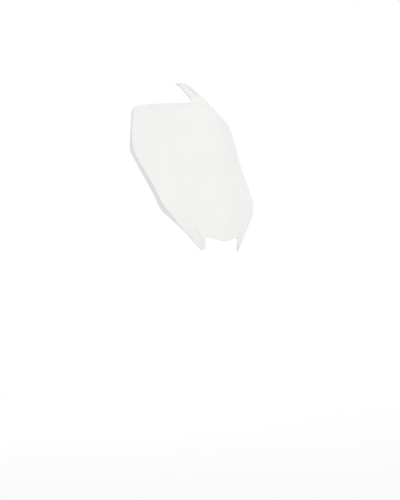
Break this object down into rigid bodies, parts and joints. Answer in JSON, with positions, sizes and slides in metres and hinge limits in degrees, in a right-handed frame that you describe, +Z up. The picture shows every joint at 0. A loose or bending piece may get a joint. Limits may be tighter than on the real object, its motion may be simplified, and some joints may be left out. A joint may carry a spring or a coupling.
{
  "type": "racing number board",
  "caption": "Front number board for a motocross bike: wrap-round plastic shell with side return flanges, leaning strap-slotted neck, lower tab and legs with locating pegs.",
  "frame": {"origin": "midway between the two lower pegs, on the plane that their bosses seat against", "axes": "+Z up along the board as it stands on the bike, +Y to the back along the pegs, so the face looks along -Y; X = 0 is the plane of symmetry"},
  "size_m": [0.256, 0.1095, 0.2895],
  "materials": {
    "white_polypropylene": "satin moulded, white"
  },
  "bodies": {
    "root": {"number_board": "white_polypropylene"}
  },
  "joints": []
}
